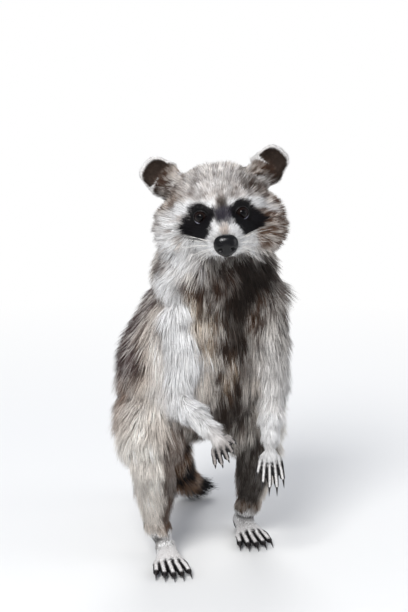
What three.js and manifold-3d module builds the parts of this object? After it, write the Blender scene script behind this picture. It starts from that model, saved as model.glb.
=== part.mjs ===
// A raccoon standing upright on its hind legs, at life size, its head turned a little to its right.
// Millimetres, +Z up. The animal faces -Y and its own left is +X. Every size runs out to the tips
// of the coat. Each part of the body is a loft through round stations, and the parts fit together
// face to face: a part that comes later in the list is hollowed where an earlier one fills the room.
import * as THREE from 'three';
import { mergeVertices } from 'three/addons/utils/BufferGeometryUtils.js';
import Module from 'manifold-3d';

const wasm = await Module();
wasm.setup();

// Clearance between neighbouring parts.
const GAP = 0.3;

const UP = new THREE.Vector3(0, 0, 1);
const FORWARD = new THREE.Vector3(0, -1, 0);
const DIGIT_FACING = new THREE.Vector3(0.1, -0.6, 0.8);

// Head: its centre, how far it is turned to the animal's right, and how far its left side is raised.
const HEAD_CENTRE = new THREE.Vector3(-5, -29, 420.5);
const HEAD_TURN = THREE.MathUtils.degToRad(-22);
const HEAD_ROLL = THREE.MathUtils.degToRad(-5.5);
const EYE_RADIUS = 8;
const EYE_SPACING = 22;

// Half widths of a leg and an arm with their coat, from the body outwards.
const LEG = { hip: 52, knee: 38, calf: 27, shin: 22, cuff: 16, ankle: 10.5, heel: 13, ball: 20 };
const ARM = { shoulder: 30, biceps: 26, elbow: 21, forearm: 16, wrist: 9.5, palm: 13 };
const TOE_RADIUS = 4.4;
const FINGER_RADIUS = 3.5;
const CLAW_LENGTH = 9;

// Where each limb bends, side by side: the weight is on the right leg, the left leg is set back,
// the left arm hangs and the right forearm is held forward with a drooping hand.
const SIDES = {
  right: {
    hip: [-48, 56, 205], knee: [-75, 11, 146], calf: [-67, 20, 104], shin: [-64, 25, 66],
    cuff: [-58, 27, 41], heel: [-48, 31, 13], ball: [-62, -14, 8], toes: [-68, -38, 6],
    shoulder: [-44, -2, 316], biceps: [-46, -16, 264], elbow: [-56, -18, 217],
    forearm: [-52, -54, 205], wrist: [-43, -90, 191], knuckles: [-37, -104, 178],
    fingertips: [-23, -88, 157], thumbSide: [10, -5, 12],
  },
  left: {
    hip: [54, 60, 205], knee: [68, 16, 142], calf: [71, 26, 100], shin: [74, 41, 64],
    cuff: [74, 53, 41], heel: [78, 76, 13], ball: [67, 28, 8], toes: [62, 5, 6],
    shoulder: [62, -4, 330], biceps: [65, -20, 266], elbow: [66, -25, 212],
    forearm: [54, -46, 184], wrist: [44, -63, 158], knuckles: [42, -69, 142],
    fingertips: [38, -74, 110], thumbSide: [-15, 4, 3],
  },
};

function vector(point) {
  return point.isVector3 ? point : new THREE.Vector3(...point);
}

function between(from, to, share) {
  return vector(from).clone().lerp(vector(to), share);
}

// A station of a loft: its centre, its half width, and its half depth along the way it faces.
function station(centre, wide, deep = wide) {
  return { centre: vector(centre), wide, deep };
}

// A closed body with rounded ends drawn through stations. Its sections face the given way.
function loft(stations, {
  sides = 12, steps = 2, facing = FORWARD, dome = 0.8, domeRings = 2, grow = 0,
} = {}) {
  const centres = new THREE.CatmullRomCurve3(stations.map((s) => s.centre), false, 'catmullrom');
  const sizes = new THREE.CatmullRomCurve3(
    stations.map((s) => new THREE.Vector3(s.wide + grow, s.deep + grow, 0)), false, 'catmullrom');
  const count = (stations.length - 1) * steps;
  const positions = [];
  const indices = [];

  function addRing(share, scale, shift) {
    const tangent = centres.getTangent(share);
    const side = new THREE.Vector3().crossVectors(facing, tangent).normalize();
    const depth = new THREE.Vector3().crossVectors(tangent, side);
    const size = sizes.getPoint(share);
    const reach = Math.min(size.x, size.y) * dome * shift;
    const centre = centres.getPoint(share).addScaledVector(tangent, reach);
    for (let k = 0; k < (scale > 0 ? sides : 1); k += 1) {
      const angle = (2 * Math.PI * k) / sides;
      const point = centre.clone()
        .addScaledVector(side, size.x * scale * Math.cos(angle))
        .addScaledVector(depth, size.y * scale * Math.sin(angle));
      positions.push(point.x, point.y, point.z);
    }
  }

  addRing(0, 0, -1);
  for (let k = domeRings - 1; k > 0; k -= 1) {
    const angle = (Math.PI / 2) * (k / domeRings);
    addRing(0, Math.cos(angle), -Math.sin(angle));
  }
  for (let k = 0; k <= count; k += 1) addRing(k / count, 1, 0);
  for (let k = 1; k < domeRings; k += 1) {
    const angle = (Math.PI / 2) * (k / domeRings);
    addRing(1, Math.cos(angle), Math.sin(angle));
  }
  addRing(1, 0, 1);

  const rings = count + 2 * domeRings - 1;
  const last = 1 + rings * sides;
  for (let k = 0; k < sides; k += 1) {
    const next = (k + 1) % sides;
    indices.push(0, 1 + next, 1 + k);
    for (let ring = 0; ring < rings - 1; ring += 1) {
      const low = 1 + ring * sides;
      const high = low + sides;
      indices.push(low + k, low + next, high + next, low + k, high + next, high + k);
    }
    indices.push(last, last - sides + k, last - sides + next);
  }
  const geometry = new THREE.BufferGeometry();
  geometry.setAttribute('position', new THREE.Float32BufferAttribute(positions, 3));
  geometry.setIndex(indices);
  return solid(geometry);
}

// An ellipsoid, or a ball where one radius is given.
function ellipsoid(centre, radii, { sides = 24, rings = 16, grow = 0 } = {}) {
  const size = vector(radii).clone().addScalar(grow);
  const geometry = new THREE.SphereGeometry(1, sides, rings);
  geometry.rotateX(Math.PI / 2);
  geometry.scale(size.x, size.y, size.z);
  geometry.translate(...vector(centre).toArray());
  return solid(geometry);
}

function solid(geometry) {
  geometry.deleteAttribute('normal');
  geometry.deleteAttribute('uv');
  const merged = mergeVertices(geometry, 1e-4);
  return new wasm.Manifold(new wasm.Mesh({
    numProp: 3,
    vertProperties: new Float32Array(merged.getAttribute('position').array),
    triVerts: new Uint32Array(merged.getIndex().array),
  }));
}

// The largest single body of a solid that a cut has split.
function largest(manifold) {
  return manifold.decompose().sort((a, b) => b.volume() - a.volume())[0];
}

function toGeometry(manifold) {
  const mesh = manifold.getMesh();
  const geometry = new THREE.BufferGeometry();
  geometry.setAttribute('position', new THREE.BufferAttribute(mesh.vertProperties, 3));
  geometry.setIndex(new THREE.BufferAttribute(mesh.triVerts, 1));
  return geometry;
}

// Everything below the floor, which flattens the soles and the underside of the tail.
function belowFloor() {
  const geometry = new THREE.BoxGeometry(900, 900, 60);
  geometry.translate(0, 100, -30);
  return solid(geometry);
}

const FLOOR = belowFloor();

// ---- Head, in its own frame: -Y is the way it looks ----

const headFrame = new THREE.Matrix4()
  .makeRotationFromEuler(new THREE.Euler(0, HEAD_ROLL, HEAD_TURN, 'ZYX'))
  .setPosition(HEAD_CENTRE);

function inHead(manifold) {
  return manifold.transform(headFrame.elements);
}

function eye(side, grow) {
  return inHead(ellipsoid([side * EYE_SPACING, -38, 8], [EYE_RADIUS, EYE_RADIUS, EYE_RADIUS],
    { sides: 12, rings: 7, grow }));
}

function nose(grow) {
  return inHead(loft([
    station([0, -79, -14], 9, 7),
    station([0, -86, -15.5], 12, 9.5),
    station([0, -91, -17], 10.5, 8.5),
  ], { sides: 12, steps: 1, facing: UP, dome: 0.5, grow }));
}

function head(grow) {
  const cranium = ellipsoid([0, 10, 4], [61, 58, 55], { sides: 18, rings: 11, grow });
  const muzzle = loft([
    station([0, -20, -12], 46, 40),
    station([0, -48, -13], 30, 25),
    station([0, -66, -15], 22, 19),
    station([0, -80, -18], 16, 14),
  ], { facing: UP, dome: 0.5, grow });
  const cheeks = [-1, 1].map((side) => ellipsoid([side * 40, 6, -14], [39, 38, 41],
    { sides: 12, rings: 7, grow }));
  return inHead(cheeks.reduce((whole, cheek) => whole.add(cheek), cranium.add(muzzle)));
}

// A rounded ear, hollowed in front like a shallow cup.
function ear(side, grow) {
  const root = [side * 43, 14, 33];
  const tip = [side * 73, 9, 63];
  const facing = new THREE.Vector3(side * 0.25, -1, 0).normalize();
  const leaf = loft([
    station(root, 22, 10),
    station(between(root, tip, 0.5), 23, 7),
    station(tip, 18, 4.5),
  ], { facing, dome: 1.8, grow });
  const hollowCentre = between(root, tip, 0.72).addScaledVector(facing, 10);
  const hollow = ellipsoid(hollowCentre, [16, 10, 18], { sides: 12, rings: 8, grow: -grow });
  return inHead(leaf.subtract(hollow));
}

// ---- Trunk, neck and tail ----

function trunk(grow) {
  return loft([
    station([-2, 62, 168], 60, 54),
    station([-6, 54, 200], 88, 80),
    station([-6, 46, 240], 92, 83),
    station([-1, 31, 280], 83, 74),
    station([4, 15, 320], 74, 66),
    station([5, 8, 340], 65, 57),
  ], { sides: 18, dome: 0.5, grow });
}

function neck(grow) {
  return loft([
    station([6, 14, 312], 66, 58),
    station([5, 8, 340], 77, 65),
    station([2, 0, 372], 75, 61),
    station([-2, -6, 405], 60, 54),
  ], { sides: 14, dome: 0.3, grow });
}

// The tail comes down from the rump, lies on the floor and turns its tip to the animal's left.
const TAIL = [
  station([-4, 112, 194], 22), station([8, 146, 150], 27), station([24, 170, 98], 28),
  station([39, 190, 52], 26), station([60, 200, 24], 24), station([85, 199, 18], 18),
  station([105, 197, 11], 11),
];
const TAIL_PARTING = 3;

function tailLength(stations, grow) {
  return loft(stations, { sides: 12, facing: new THREE.Vector3(1, 0.2, 0.3), dome: 0.5, grow });
}

// ---- Legs and hind paws ----

function thigh(side, grow) {
  const { hip, knee } = SIDES[side];
  return loft([
    station(hip, LEG.hip * 0.9, LEG.hip),
    station(between(hip, knee, 0.5), 50, 54),
    station(knee, LEG.knee, LEG.knee + 6),
  ], { dome: 0.5, grow });
}

function shank(side, grow) {
  const { knee, calf, shin, cuff, heel } = SIDES[side];
  return loft([
    station(knee, LEG.knee - 4, LEG.knee),
    station(calf, LEG.calf, LEG.calf + 3),
    station(shin, LEG.shin, LEG.shin + 1),
    station(cuff, LEG.cuff, LEG.cuff + 1),
    station(between(cuff, heel, 0.6), LEG.ankle, LEG.ankle + 1),
  ], { dome: 0.4, grow });
}

// Five digits fanned from a palm or a sole, each with its own length, thickness and spread.
function digitPaths({ knuckles, tips, across, lengths, spread, bend }) {
  return lengths.map((length, k) => {
    const place = (k - 2) / 2;
    const root = vector(knuckles).clone().addScaledVector(across, place);
    const end = vector(tips).clone().addScaledVector(across, place * spread);
    const reach = end.sub(root).multiplyScalar(length);
    const middle = root.clone().addScaledVector(reach, 0.5).add(bend);
    return [root, middle, root.clone().add(reach)];
  });
}

function toePaths(side) {
  const { heel, ball, toes } = SIDES[side];
  const ahead = vector(toes).clone().sub(vector(heel)).setZ(0).normalize();
  const inward = side === 'right' ? 1 : -1;
  const across = new THREE.Vector3(-ahead.y, ahead.x, 0).multiplyScalar(15 * inward);
  return digitPaths({
    knuckles: vector(ball).clone().addScaledVector(ahead, -6),
    tips: toes,
    across,
    lengths: [0.78, 0.97, 1.05, 1, 0.85],
    spread: 1.35,
    bend: new THREE.Vector3(0, 0, 3),
  });
}

function fingerPaths(side) {
  const { knuckles, fingertips, wrist, thumbSide } = SIDES[side];
  const towardsWrist = between(knuckles, wrist, 0.35);
  return digitPaths({
    knuckles: towardsWrist,
    tips: fingertips,
    across: vector(thumbSide).clone().multiplyScalar(-0.75),
    lengths: [0.64, 0.9, 1.04, 1, 0.74],
    spread: 1.5,
    bend: vector(knuckles).clone().sub(towardsWrist).multiplyScalar(0.35),
  });
}

function digits(paths, radius, grow) {
  return paths.map(([root, middle, end]) => loft([
    station(root, radius * 1.25),
    station(middle, radius),
    station(end, radius * 0.95),
  ], { sides: 5, steps: 1, facing: DIGIT_FACING, domeRings: 1, grow }));
}

function hindpaw(side, grow) {
  const { cuff, heel, ball } = SIDES[side];
  const sole = loft([
    station(heel, LEG.heel, LEG.heel + 2),
    station(between(heel, ball, 0.5), LEG.heel + 1, LEG.heel - 1),
    station(ball, LEG.ball, 10),
  ], { sides: 10, facing: UP, dome: 0.7, grow });
  const instep = loft([
    station(between(cuff, heel, 0.3), LEG.ankle - 1, LEG.ankle),
    station(between(heel, ball, 0.3), LEG.heel, LEG.heel),
  ], { sides: 8, steps: 1, dome: 0.5, grow });
  const toes = digits(toePaths(side), TOE_RADIUS, grow);
  return toes.reduce((whole, toe) => whole.add(toe), sole.add(instep));
}

// ---- Arms and forepaws ----

function upperArm(side, grow) {
  const { shoulder, biceps, elbow } = SIDES[side];
  return loft([
    station(shoulder, ARM.shoulder, ARM.shoulder + 6),
    station(biceps, ARM.biceps, ARM.biceps + 2),
    station(elbow, ARM.elbow, ARM.elbow + 1),
  ], { dome: 0.6, grow });
}

function forearm(side, grow) {
  const { elbow, forearm: middle, wrist } = SIDES[side];
  return loft([
    station(elbow, ARM.elbow - 2, ARM.elbow - 1),
    station(middle, ARM.forearm, ARM.forearm + 1),
    station(wrist, ARM.wrist, ARM.wrist + 1),
  ], { facing: new THREE.Vector3(0, -0.6, 0.8), dome: 0.5, grow });
}

function forepaw(side, grow) {
  const { wrist, knuckles, thumbSide } = SIDES[side];
  const ahead = vector(knuckles).clone().sub(vector(wrist)).normalize();
  const facing = new THREE.Vector3().crossVectors(ahead, vector(thumbSide));
  const palm = loft([
    station(between(wrist, knuckles, -0.2), ARM.wrist - 1, ARM.wrist - 2),
    station(between(wrist, knuckles, 0.5), ARM.palm - 1, 7.5),
    station(knuckles, ARM.palm, 6),
  ], { sides: 8, facing, dome: 0.8, grow });
  return digits(fingerPaths(side), FINGER_RADIUS, grow)
    .reduce((whole, finger) => whole.add(finger), palm);
}

// A claw carries on from the end of its digit and curves down.
function claw([, middle, end], radius, grow) {
  const ahead = end.clone().sub(middle).normalize();
  const down = new THREE.Vector3(0, 0, -1);
  return loft([
    station(end, radius * 0.62, radius * 0.7),
    station(end.clone().addScaledVector(ahead, radius + CLAW_LENGTH * 0.4), radius * 0.42, radius * 0.5),
    station(end.clone().addScaledVector(ahead, radius + CLAW_LENGTH * 0.8)
      .addScaledVector(down, 1.2), radius * 0.16, radius * 0.2),
  ], { sides: 4, steps: 1, facing: DIGIT_FACING, domeRings: 1, grow });
}

// ---- The parts, each with its colour, in the order in which they claim their room ----

const FINISHES = {
  cream: { color: 0xd8cfc2, roughness: 0.85 },
  grizzled: { color: 0xa5988a, roughness: 0.85 },
  brown: { color: 0x6f5c4c, roughness: 0.85 },
  dark: { color: 0x2e2723, roughness: 0.85 },
  eye: { color: 0x0d0908, roughness: 0.1 },
  nose: { color: 0x151518, roughness: 0.35 },
  horn: { color: 0x1f1a18, roughness: 0.45 },
};

const parts = [
  ['eye_right', 'eye', (grow) => eye(-1, grow)],
  ['eye_left', 'eye', (grow) => eye(1, grow)],
  ['nose', 'nose', nose],
  ['head', 'cream', head],
  ['ear_right', 'dark', (grow) => ear(-1, grow)],
  ['ear_left', 'dark', (grow) => ear(1, grow)],
  ['neck', 'grizzled', neck],
  ['trunk', 'grizzled', trunk],
  ['tail_root', 'brown', (grow) => tailLength(TAIL.slice(0, TAIL_PARTING + 1), grow)],
  ['tail_end', 'dark', (grow) => tailLength(TAIL.slice(TAIL_PARTING), grow)],
];
for (const side of ['right', 'left']) {
  parts.push(
    [`upper_arm_${side}`, 'grizzled', (grow) => upperArm(side, grow)],
    [`forearm_${side}`, 'cream', (grow) => forearm(side, grow)],
    [`forepaw_${side}`, 'cream', (grow) => forepaw(side, grow)],
    [`thigh_${side}`, 'grizzled', (grow) => thigh(side, grow)],
    [`shank_${side}`, 'brown', (grow) => shank(side, grow)],
    [`hindpaw_${side}`, 'cream', (grow) => hindpaw(side, grow)],
  );
  fingerPaths(side).forEach((path, k) => {
    parts.push([`fore_claw_${side}_${k + 1}`, 'horn', (grow) => claw(path, FINGER_RADIUS, grow)]);
  });
  toePaths(side).forEach((path, k) => {
    parts.push([`hind_claw_${side}_${k + 1}`, 'horn', (grow) => claw(path, TOE_RADIUS, grow)]);
  });
}

const raccoon = new THREE.Group();
const placed = [];
for (const [name, finish, build] of parts) {
  let piece = build(0).subtract(FLOOR);
  for (const earlier of placed) piece = piece.subtract(earlier);
  placed.push(build(GAP));
  const mesh = new THREE.Mesh(
    toGeometry(largest(piece)),
    new THREE.MeshStandardMaterial({ ...FINISHES[finish], metalness: 0 }),
  );
  mesh.name = name;
  raccoon.add(mesh);
}

// The origin is on the floor, under the middle of the whole animal.
const bounds = new THREE.Box3().setFromObject(raccoon);
const middle = bounds.getCenter(new THREE.Vector3());
raccoon.position.set(-middle.x, -middle.y, -bounds.min.z);

export default raccoon;
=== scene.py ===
import math

import bpy
import numpy as np
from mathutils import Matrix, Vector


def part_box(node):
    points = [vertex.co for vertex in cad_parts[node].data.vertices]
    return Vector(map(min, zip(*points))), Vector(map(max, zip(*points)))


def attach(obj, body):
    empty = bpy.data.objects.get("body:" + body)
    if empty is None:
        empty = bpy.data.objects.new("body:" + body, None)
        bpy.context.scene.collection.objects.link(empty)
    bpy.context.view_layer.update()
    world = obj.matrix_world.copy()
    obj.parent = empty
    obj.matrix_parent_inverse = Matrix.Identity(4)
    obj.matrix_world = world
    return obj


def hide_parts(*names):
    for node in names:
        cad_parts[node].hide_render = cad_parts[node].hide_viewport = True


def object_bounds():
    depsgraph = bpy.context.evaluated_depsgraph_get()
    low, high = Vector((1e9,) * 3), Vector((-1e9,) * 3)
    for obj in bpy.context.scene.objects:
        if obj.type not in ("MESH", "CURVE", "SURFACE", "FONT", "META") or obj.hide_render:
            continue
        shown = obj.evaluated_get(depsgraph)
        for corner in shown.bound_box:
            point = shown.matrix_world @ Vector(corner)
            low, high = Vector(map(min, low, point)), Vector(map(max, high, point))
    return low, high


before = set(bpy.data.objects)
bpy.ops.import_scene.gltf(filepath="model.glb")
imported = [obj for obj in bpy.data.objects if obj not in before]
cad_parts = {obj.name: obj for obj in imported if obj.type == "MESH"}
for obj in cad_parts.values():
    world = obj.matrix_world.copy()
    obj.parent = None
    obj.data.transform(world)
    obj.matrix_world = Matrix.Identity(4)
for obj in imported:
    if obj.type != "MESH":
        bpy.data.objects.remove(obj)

import openvdb
from mathutils import Vector, kdtree

cad_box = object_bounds()
rng = np.random.default_rng(20)

# ---- small helpers

MM = 0.001
SIDES = ("right", "left")
SIGN = {"right": -1, "left": 1}
DIGITS = range(1, 6)


def unit(v):
    v = np.asarray(v, float)
    return v / np.maximum(np.linalg.norm(v, axis=-1, keepdims=True), 1e-9)


def square_to(v, way):
    """The direction nearest to v that is square to a way."""
    return unit(v - way * (v @ way))


def ramp(low, high, x):
    """0 at low and 1 at high, soft at both ends."""
    t = np.clip((x - low) / (high - low), 0, 1)
    return t * t * (3 - 2 * t)


def band(value, low, high, soft):
    """1 between low and high, fading out over soft on both sides."""
    return ramp(low - soft, low + soft, value) * ramp(high + soft, high - soft, value)


def mix(a, b, share):
    """Blend from a to b. The share is one number, or one for each row."""
    share = np.asarray(share)[..., None] if np.ndim(share) else share
    return np.asarray(a) * (1 - share) + np.asarray(b) * share


def laid(colour, *layers):
    """A colour with layers of (colour, strength) laid over it, one after another."""
    for tone, strength in layers:
        colour = mix(colour, tone, strength)
    return colour


def hill(*offsets):
    """1 on the top of a smooth hill. Offsets from it are in half widths."""
    return np.exp(-sum(off ** 2 for off in offsets))


def near(points, spot, radii):
    """1 at a spot given in mm, fading to 0 at its radii."""
    off = np.linalg.norm((points / MM - spot) / radii, axis=1)
    return ramp(1.0, 0.45, off)


def waves(points, length, seed):
    """A soft random field between about -1 and 1 that changes over a length in mm."""
    draw = np.random.default_rng(seed)
    total = np.zeros(len(points))
    for _ in range(7):
        way = unit(draw.normal(size=3)) * (2 * math.pi / (length * MM)) * draw.uniform(0.6, 1.5)
        total += np.sin(points @ way + draw.uniform(0, 2 * math.pi))
    return total / 3


# ---- meshes

def read(items, name, columns, kind=np.float32):
    """A property of every item of a mesh, in rows."""
    values = np.empty(len(items) * columns, kind)
    items.foreach_get(name, values)
    return values.reshape(-1, columns)


def triangles(mesh):
    mesh.calc_loop_triangles()
    return read(mesh.vertices, "co", 3), read(mesh.loop_triangles, "vertices", 3, np.int32)


def triangles_of(node):
    return triangles(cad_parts[node].data)


def face_normals(points, corners):
    """The normals of triangles, as long as twice their area."""
    a, b, c = (points[corners[:, k]] for k in range(3))
    return np.cross(b - a, c - a)


def normals_of(points, corners):
    face = face_normals(points, corners)
    sums = [sum(np.bincount(corner, part, len(points)) for corner in corners.T) for part in face.T]
    return unit(np.stack(sums, 1))


def make_mesh(name, points, faces):
    """A piece from points and faces that all have as many corners."""
    mesh = bpy.data.meshes.new(name)
    corners = faces.shape[1]
    mesh.vertices.add(len(points))
    mesh.vertices.foreach_set("co", np.asarray(points, np.float32).ravel())
    mesh.loops.add(len(faces) * corners)
    mesh.loops.foreach_set("vertex_index", faces.astype(np.int32).ravel())
    mesh.polygons.add(len(faces))
    mesh.polygons.foreach_set("loop_start", np.arange(len(faces), dtype=np.int32) * corners)
    mesh.update(calc_edges=True)
    mesh.shade_smooth()
    return placed(name, mesh)


def placed(name, data):
    """A new object of the scene with this data."""
    thing = bpy.data.objects.new(name, data)
    bpy.context.scene.collection.objects.link(thing)
    return thing


def paint(piece, name, values, kind="FLOAT_COLOR"):
    """Stores a colour, or with the kind FLOAT a number, at every point of a piece."""
    layer = piece.data.attributes.new(name, kind, "POINT")
    key = "color" if kind == "FLOAT_COLOR" else "value"
    layer.data.foreach_set(key, np.asarray(values, np.float32).ravel())


def dress(piece, material, slot, *nodes):
    """Gives a piece its material and its body, and hides the nodes it stands for. The slot is not used."""
    piece.data.materials.append(material)
    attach(piece, "root")
    if nodes:
        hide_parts(*nodes)


def scatter(points, corners, count, draw, density=1):
    """Faces and shares of their corners, spread evenly by area times density."""
    weight = np.linalg.norm(face_normals(points, corners), axis=1) * density
    face = draw.choice(len(corners), count, p=weight / weight.sum())
    u, v = draw.random(count), draw.random(count)
    over = u + v > 1
    u[over], v[over] = 1 - u[over], 1 - v[over]
    return face, np.stack([1 - u - v, u, v], 1)


def blend(corner_values, shares):
    """Values at places on faces, from those of the faces' corners."""
    return (corner_values * shares[..., None]).sum(1)


# ---- places, from the frame

def box_of(node):
    return np.array(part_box(node))


def centre(node):
    low, high = box_of(node)
    return (low + high) / 2


# The head's own axes: x to its left, y backwards, z up, from the middle of the skull.
NOSE_DROP = math.radians(26.6)
EYES = {side: centre(f"eye_{side}") for side in SIDES}
EYE_RADIUS = float(np.ptp(box_of("eye_left"), axis=0).mean()) / 2
BETWEEN_EYES = (EYES["right"] + EYES["left"]) / 2
HEAD_X = unit(EYES["left"] - EYES["right"])
to_nose = square_to(centre("nose") - BETWEEN_EYES, HEAD_X)
HEAD_FRONT = math.cos(NOSE_DROP) * to_nose + math.sin(NOSE_DROP) * np.cross(to_nose, HEAD_X)
HEAD_Z = np.cross(HEAD_FRONT, HEAD_X)
HEAD_AXES = np.array([HEAD_X, -HEAD_FRONT, HEAD_Z])
HEAD_ORIGIN = BETWEEN_EYES - 0.038 * HEAD_FRONT - 0.008 * HEAD_Z


def to_head(points):
    """Points in the head's own axes, in millimetres."""
    return (np.asarray(points) - HEAD_ORIGIN) @ HEAD_AXES.T / MM


def from_head(points):
    return np.asarray(points, float) * MM @ HEAD_AXES + HEAD_ORIGIN


NOSE_TIP = from_head((0, -92, -18))
TAIL_START = centre("tail_root") + (0, 0, 0.085)
TAIL_TIP = np.array([box_of("tail_end")[1, 0], centre("tail_end")[1], 0.012])


def from_eye(side, points):
    """Distances from the middle of an eye in mm."""
    return np.linalg.norm(points - EYES[side], axis=1) / MM


def ear_line(side):
    """An ear's root and the way it stands."""
    root = from_head((43 * SIGN[side], 14, 33))
    return root, unit(from_head((73 * SIGN[side], 9, 63)) - root)


def claws_of(paw, side):
    """The middles of a paw's claws."""
    return np.array([centre(f"{paw[:4]}_claw_{side}_{k}") for k in DIGITS])


def ahead_of(paw, side):
    """The way from a paw's middle to its claws."""
    return unit(claws_of(paw, side).mean(0) - centre(f"{paw}_{side}"))


def back_of(paw, side):
    """The way the back of a paw faces."""
    if paw == "hindpaw":
        return np.array([0, -0.15, 1.0])
    return square_to(np.array([-0.45, -1.0, 0.35]), ahead_of(paw, side))


# ---- the coat, part by part

# How deep the coat lies and how long the hair is in mm, how wide a tuft is in mm, tufts to the
# square centimetre, how much the tips gather into locks, and how closely the skin keeps to the
# solid's own form.
COAT_KEYS = ("depth", "length", "width", "per_cm2", "gather", "fine")
COATS = {
    "face": (2.2, 6.5, 0.42, 150, 0.2, 0.8),
    "head": (8.0, 19, 0.6, 80, 0.65, 0.2),
    "neck": (13.0, 32, 0.8, 46, 0.65, 0),
    "trunk": (14.0, 34, 0.85, 40, 0.7, 0),
    "tail_root": (13.0, 28, 0.85, 42, 0.4, 0),
    "tail_end": (12.0, 26, 0.85, 44, 0.4, 0),
    "upper_arm": (9.0, 30, 0.8, 52, 0.75, 0),
    "forearm": (5.0, 19, 0.62, 80, 0.65, 0.35),
    "forepaw": (0.3, 2.0, 0.32, 190, 0.05, 1.0),
    "thigh": (11.0, 30, 0.85, 44, 0.7, 0),
    "shank": (7.5, 26, 0.75, 58, 0.6, 0.2),
    "hindpaw": (0.4, 2.6, 0.34, 170, 0.05, 1.0),
    "ear": (0.9, 2.8, 0.42, 200, 0.1, 1.0),
}
LIMBS = ("ear", "upper_arm", "forearm", "forepaw", "thigh", "shank", "hindpaw")
FLESH = ["head", "neck", "trunk", "tail_root", "tail_end"] + [f"{p}_{s}" for s in SIDES for p in LIMBS]
FILLING = ["eye_right", "eye_left", "nose"]
PARTS = FLESH + ["face"]
KINDS = [part.removesuffix("_right").removesuffix("_left") for part in PARTS]
PAWS = [(paw, side) for side in SIDES for paw in ("forepaw", "hindpaw")]


def coat_at(key, share, power=1.0):
    """A value of the coat where the parts have these shares. A power favours the high values."""
    values = np.array([COATS[kind][COAT_KEYS.index(key)] for kind in KINDS], np.float32)
    return np.tensordot(values ** power, share, 1) ** (1 / power)


def share_of(share, *parts):
    """The shares of some parts together."""
    return share[[PARTS.index(part) for part in parts]].sum(0)


def leg_share(share):
    return share_of(share, "shank_right", "shank_left", "hindpaw_right", "hindpaw_left")


def above_foot(levels, top=76):
    """1 at the ankle and under it, where the coat is short, and 0 from a height in mm upwards."""
    return ramp(top, 34, levels / MM)


# A coarse lattice round the animal holds each part's share in every place, so that depth, length
# and the lie of the coat change smoothly from part to part. Each of its steps is STEP voxels.
VOXEL = 0.0013
STEP = 5
MARGIN = 0.016
BLEND = 0.009
SAMPLES = 260
low_corner = np.floor((np.array(cad_box[0]) - MARGIN) / VOXEL).astype(int)
high_corner = np.ceil((np.array(cad_box[1]) + MARGIN) / VOXEL).astype(int)
coarse_shape = (high_corner - low_corner) // STEP + 2
fine_shape = (coarse_shape - 1) * STEP + 1


def voxels(first, last, step=1):
    """The places of a block of voxels, from its first up to its last."""
    axes = [(low_corner[k] + step * np.arange(first[k], last[k])) * VOXEL for k in range(3)]
    return np.stack(np.meshgrid(*axes, indexing="ij"), -1)


def part_shares():
    lattice = voxels((0, 0, 0), coarse_shape, STEP).reshape(-1, 3).astype(np.float32)
    far = np.empty((len(FLESH), len(lattice)), np.float32)
    own = (lattice ** 2).sum(1)
    draw = np.random.default_rng(1)
    for k, node in enumerate(FLESH):
        points, corners = triangles_of(node)
        face, shares = scatter(points, corners, SAMPLES, draw)
        cloud = blend(points[corners[face]], shares).astype(np.float32)
        square = own[:, None] - 2 * lattice @ cloud.T + (cloud ** 2).sum(1)
        far[k] = np.sqrt(np.maximum(square.min(1), 0))
    far -= far.min(0)
    share = np.exp(-(far / BLEND) ** 2)
    share /= share.sum(0)
    # The face is the front of the head, where the coat is short.
    reach = np.linalg.norm(to_head(lattice) - (0, -58, -4), axis=1)
    face = (1 - ramp(34, 88, reach)) * share[0]
    share[0] -= face
    return np.vstack([share, face[None]]).reshape(len(PARTS), *coarse_shape).astype(np.float32)


SHARES = part_shares()


def sample(field, points):
    """A field on the coarse lattice, of any leading size, read at points."""
    place = np.asarray(points) / VOXEL
    place = np.clip((place - low_corner) / STEP, 0, np.array(coarse_shape) - 1.001)
    base = place.astype(int)
    part = (place - base).astype(np.float32)
    result = 0
    for corner in np.ndindex(2, 2, 2):
        weight = np.prod([part[:, k] if corner[k] else 1 - part[:, k] for k in range(3)], axis=0)
        i, j, k = (base + corner).T
        result = result + field[..., i, j, k] * weight
    return result


def finer(field):
    """A field on the coarse lattice at every voxel."""
    for axis in range(3):
        place = np.arange(fine_shape[axis]) / STEP
        base = np.minimum(place.astype(int), coarse_shape[axis] - 2)
        part = (place - base).astype(np.float32)
        part = part.reshape([-1 if k == axis else 1 for k in range(3)])
        field = field.take(base, axis) * (1 - part) + field.take(base + 1, axis) * part
    return field


# ---- skin

SMOOTHING = 0.5 * MM
# Half widths, in voxels, of the bands in which distances to the joined solids and to their common
# outside are kept, and a distance that stands for all that is further out.
JOINED_BAND = 3
OUTSIDE_BAND = 16
FAR_OUT = 0.02
BLUR = 4


def body_distance():
    """Distance to the outside of the whole animal on every voxel, negative inside."""
    meshes = [triangles_of(node) for node in FLESH + FILLING]
    starts = np.cumsum([0] + [len(points) for points, _ in meshes])
    points = np.concatenate([points for points, _ in meshes])
    corners = np.concatenate([corners + start for (_, corners), start in zip(meshes, starts)])
    transform = openvdb.createLinearTransform(VOXEL)
    level_set = openvdb.FloatGrid.createLevelSetFromPolygons
    grid = level_set(points, triangles=corners.astype(np.uint32), transform=transform, halfWidth=JOINED_BAND)
    shell, quads = grid.convertToQuads(isovalue=SMOOTHING)
    grid = level_set(shell, quads=quads, transform=transform, halfWidth=OUTSIDE_BAND)
    distance = np.empty(tuple(fine_shape), np.float32)
    grid.copyToArray(distance, ijk=tuple(int(k) for k in low_corner))
    return distance + SMOOTHING


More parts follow.
